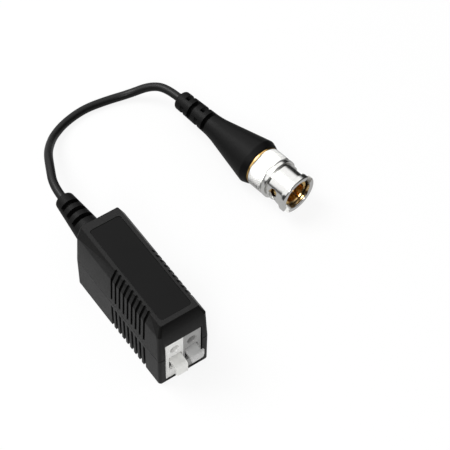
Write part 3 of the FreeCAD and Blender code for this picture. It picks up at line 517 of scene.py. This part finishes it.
# Coupling
# Turned from one brass bar and plated in bright nickel: a diamond-knurled grip, a dark groove, a
# smooth collar and a sleeve with two bayonet slots that end in the wide front ring.
coupling_steps = 240
knurl_count = 60
knurl_rows = 32
knurl_pitch = 0.72
knurl_depth = 0.34
coupling_radius = 7.0
sleeve_radius = 6.3
sleeve_bore = 5.3
coupling_start = 38.4
knurl_end = coupling_start + 5.7
collar_start = knurl_end + 0.5
collar_end = collar_start + 1.2
sleeve_start = collar_end + 0.5
coupling_end = 54.3
ring_start = coupling_end - 1.9
lip_end = coupling_start + 1.5
cavity_end = lip_end + 4.9
knurl_low = coupling_start + 0.35
knurl_high = knurl_end - 0.35
bayonet_entry = 130
bayonet_turn = -54
bayonet_steps = 6
entry_width = 3.4
slot_width = 2.7
slot_height = coupling_end - 5.1
slot_rise = 0.6
detent_hook = 0.4
detent_radius = 1.45


def nickel_paint():
    paint = Paint("nickel_plate", Metallic=1.0)
    turning = paint.noise(0.4 * mm, 2)
    cloud = paint.noise(3 * mm, 3)
    colour = paint.blend(cloud, grey(0.74, (1, 0.995, 0.97)), grey(0.84, (1, 0.995, 0.98)))
    return paint.wear(colour, 0.14 + turning * 0.08 + (cloud - 0.5) * 0.06, paint.bump(turning, 0.003 * mm))


knurl_heights = [knurl_low + (knurl_high - knurl_low) * row / knurl_rows for row in range(knurl_rows + 1)]
coupling_outline = (
    [(4.63, coupling_start, 0.1), (6.7, coupling_start, 0)]
    + [(coupling_radius, height, 0) for height in knurl_heights]
    + [(6.7, knurl_end, 0), (6.45, knurl_end, 0), (6.45, collar_start, 0),
       (coupling_radius, collar_start, 0.12), (coupling_radius, collar_end, 0.12), (5.85, collar_end, 0),
       (5.85, sleeve_start, 0), (sleeve_radius, sleeve_start, 0.12), (sleeve_radius, ring_start, 0.12),
       (coupling_radius, ring_start, 0.15), (coupling_radius, coupling_end, 0.35),
       (sleeve_bore, coupling_end, 0.3), (sleeve_bore, cavity_end, 0), (5.9, cavity_end, 0),
       (5.9, lip_end, 0),
       (4.63, lip_end, 0)])
coupling = turned(coupling_outline, coupling_steps, 3)


def zigzag(value):
    """Rises from 0 to 1 and falls back once for each whole number."""
    return 1 - abs(2 * (value % 1) - 1)


for vert in coupling.verts:
    height = vert.co.z / mm
    radius = vert.co.xy.length
    if knurl_low < height < knurl_high and radius > 6.6 * mm:
        turn = knurl_count * math.atan2(vert.co.y, vert.co.x) / math.tau
        along = (height - knurl_low) / (2 * knurl_pitch)
        ridge = min(zigzag(turn + along), zigzag(turn - along))
        vert.co.xy *= 1 - knurl_depth * mm * (1 - ridge) / radius


def add_block(mesh, size, place):
    made = bmesh.ops.create_cube(mesh, size=1.0)
    bmesh.ops.scale(mesh, vec=size, verts=made["verts"])
    bmesh.ops.transform(mesh, matrix=place, verts=made["verts"])


def add_rod(mesh, radius, length, place, segments=32):
    made = bmesh.ops.create_cone(mesh, cap_ends=True, segments=segments, radius1=radius, radius2=radius,
                                 depth=length)
    bmesh.ops.transform(mesh, matrix=place, verts=made["verts"])


def around(angle, height):
    """A place on the plug's axis at this height, with its X pointing out at this angle."""
    return Matrix.Translation((0, 0, height * mm)) @ Matrix.Rotation(math.radians(angle), 4, "Z")


cutter = bmesh.new()
lying = Matrix.Rotation(math.radians(90), 4, "Y")
reach = coupling_radius + 1
halfway_out = Matrix.Translation((reach / 2 * mm, 0, 0))
step_angle = bayonet_turn / bayonet_steps
step_rise = slot_rise / bayonet_steps
step_arc = math.radians(step_angle) * sleeve_radius
step_tilt = math.atan2(step_rise, step_arc)
step_length = math.hypot(step_arc, step_rise) + 0.1
for start in (bayonet_entry, bayonet_entry + 180):
    entry_length = coupling_end + 1 - slot_height
    place = around(start, slot_height + entry_length / 2) @ halfway_out
    add_block(cutter, (reach * mm, entry_width * mm, entry_length * mm), place)
    for step in range(bayonet_steps):
        place = around(start + step_angle * (step + 0.5), slot_height - step_rise * (step + 0.5))
        place = place @ Matrix.Rotation(-step_tilt, 4, "X") @ halfway_out
        add_block(cutter, (reach * mm, step_length * mm, slot_width * mm), place)
    ends = ((0, 0, slot_width / 2), (bayonet_turn, slot_rise - detent_hook, detent_radius))
    for turn, drop, radius in ends:
        place = around(start + turn, slot_height - drop) @ halfway_out @ lying
        add_rod(cutter, radius * mm, reach * mm, place)


def carved(mesh, cutter):
    """Cuts one bmesh out of another, and gives the result as a bmesh."""
    parts = []
    for source in (mesh, cutter):
        data = bpy.data.meshes.new("carving")
        source.to_mesh(data)
        source.free()
        parts.append(bpy.data.objects.new("carving", data))
        bpy.context.scene.collection.objects.link(parts[-1])
    cut = parts[0].modifiers.new("cut", "BOOLEAN")
    cut.object = parts[1]
    cut.solver = "EXACT"
    cut.use_self = True
    shaped = parts[0].evaluated_get(bpy.context.evaluated_depsgraph_get())
    result = bmesh.new()
    result.from_mesh(bpy.data.meshes.new_from_object(shaped))
    for part in parts:
        bpy.data.objects.remove(part)
    return result


coupling = carved(coupling, cutter)
lay_along(coupling, plug_start, plug_way)
nickel = nickel_paint()
coupling_piece = add_piece(coupling, "bayonet_coupling", nickel, "coupling", ["coupling"],
                           sharp=35)

# Contacts
# A gold plated outer contact with six springy fingers, a turned white insulator and a gold centre pin.
outer_contact = add_piece(moulded_copy("outer_contact", plate_edge), "contact_fingers", gold,
                          "housing", ["outer_contact"])
insulator_paint = gloss_paint("insulator_white", grey(0.68), grey(0.76), 0.4)
insulator = add_piece(moulded_copy("plug_insulator", plate_edge), "insulator", insulator_paint,
                      "housing", ["plug_insulator"])
pin = add_piece(moulded_copy("centre_pin", plate_edge), "contact_pin", gold, "housing",
                ["centre_pin"])

# Floor, light and camera
# A plain white floor that keeps a faint shadow of the object, and that in reflections shows a painted
# glow round the object, under a studio that is bright behind the object and dark in front of it.
# Two soft lamps light it, one high behind and one in front.
floor_size = 1.2
floor_mesh = bmesh.new()
bmesh.ops.create_grid(floor_mesh, x_segments=1, y_segments=1, size=floor_size)
floor_data = bpy.data.meshes.new("floor")
floor_mesh.to_mesh(floor_data)
floor_mesh.free()
floor_paint = Paint("floor_white", Roughness=0.9, Specular_IOR_Level=0.0)
floor_paint.shader.inputs["Base Color"].default_value = grey(0.9)
camera_white = 0.85
seen = floor_paint.add("ShaderNodeLightPath").outputs["Is Camera Ray"]
white = floor_paint.add("ShaderNodeEmission", None, {"Color": grey(1.0), "Strength": 1.0})
share = Amount(floor_paint, seen) * camera_white
mixed = floor_paint.add("ShaderNodeMixShader", None, {
    0: share, 1: floor_paint.shader.outputs["BSDF"], 2: white.outputs["Emission"]})
# Painted light: in glossy rays the floor shows an emission instead of its lit surface. This painted glow is
# strongest within 5 cm of a point 3 cm behind the object's middle, fades out by 20 cm and is nearly dark
# beyond.
painted_glow_centre = Vector((0.0, 0.03, 0.0))
flat_place = floor_paint.moved(location=-painted_glow_centre)
distance = Amount(floor_paint, floor_paint.add("ShaderNodeVectorMath", {"operation": "LENGTH"},
                                               {0: flat_place}).outputs["Value"])
painted_glow_pool = 1 - distance.step(0.05, 0.2)
painted_floor_glow = floor_paint.add("ShaderNodeEmission", None, {
    "Color": grey(1.0), "Strength": painted_glow_pool * 0.5 + 0.02})
glossy_floor = floor_paint.add("ShaderNodeMixShader", None, {
    0: floor_paint.add("ShaderNodeLightPath").outputs["Is Glossy Ray"], 1: mixed.outputs["Shader"],
    2: painted_floor_glow.outputs["Emission"]})
floor_paint.feed(floor_paint.tree.nodes["Material Output"].inputs["Surface"], glossy_floor.outputs["Shader"])
floor_data.materials.append(floor_paint.material)
floor = bpy.data.objects.new("floor", floor_data)
bpy.context.scene.collection.objects.link(floor)


class Sky(Paint):
    """The same helper on the world's nodes, round its Background."""

    def __init__(self, world):
        world.use_nodes = True
        self.tree = world.node_tree
        self.shader = self.tree.nodes["Background"]
        self.place = self.add("ShaderNodeTexCoord").outputs["Generated"]


world = bpy.data.worlds.new("studio")
bpy.context.scene.world = world
sky = Sky(world)
low_sky = 0.02
high_sky = 1.15
even_sky = 0.5
facing = sky.add("ShaderNodeSeparateXYZ", None, {"Vector": sky.place}).outputs
tent = Amount(sky, facing["Z"]) + Amount(sky, facing["Y"]) * 0.6 - Amount(sky, facing["X"]) * 0.3
ray = sky.add("ShaderNodeLightPath").outputs
mirrored = tent.step(0.42, 0.72) * (high_sky - low_sky) + low_sky
glossy = Amount(sky, ray["Is Glossy Ray"])
shown = Amount(sky, ray["Is Camera Ray"])
strength = shown + (1 - shown) * (glossy * mirrored + (1 - glossy) * even_sky)
sky.feed(sky.shader.inputs["Color"], (1, 1, 1, 1))
sky.feed(sky.shader.inputs["Strength"], strength)


def softbox(name, place, target, size, power):
    """A square area lamp, aimed at a point."""
    data = bpy.data.lights.new(name, "AREA")
    data.size = size
    data.energy = power
    lamp = bpy.data.objects.new(name, data)
    lamp.location = place
    lamp.rotation_euler = (Vector(place) - Vector(target)).to_track_quat("Z", "Y").to_euler()
    bpy.context.scene.collection.objects.link(lamp)


lit = (0.02, 0.03, 0.01)
softbox("high_behind", (-0.25, 0.45, 0.75), lit, 0.5, 5.0)
softbox("front_fill", (-0.35, -0.42, 0.6), lit, 0.25, 2.0)

camera_azimuth = -36.203
camera_elevation = 53.445
camera_roll = 1.567
camera_place = (-148.26, -242.22, 432.24)
focal_pixels = 1700
frame_pixels = 450
camera_data = bpy.data.cameras.new("camera")
camera_data.sensor_width = 36
camera_data.lens = 36 * focal_pixels / frame_pixels
camera_data.clip_start = 0.01
camera = bpy.data.objects.new("camera", camera_data)
camera.matrix_world = (
    Matrix.Translation(Vector(camera_place) * mm)
    @ Matrix.Rotation(math.radians(camera_azimuth), 4, "Z")
    @ Matrix.Rotation(math.radians(90 - camera_elevation), 4, "X")
    @ Matrix.Rotation(math.radians(camera_roll), 4, "Z"))
bpy.context.scene.collection.objects.link(camera)
bpy.context.scene.camera = camera
bpy.context.scene.view_settings.view_transform = "Standard"
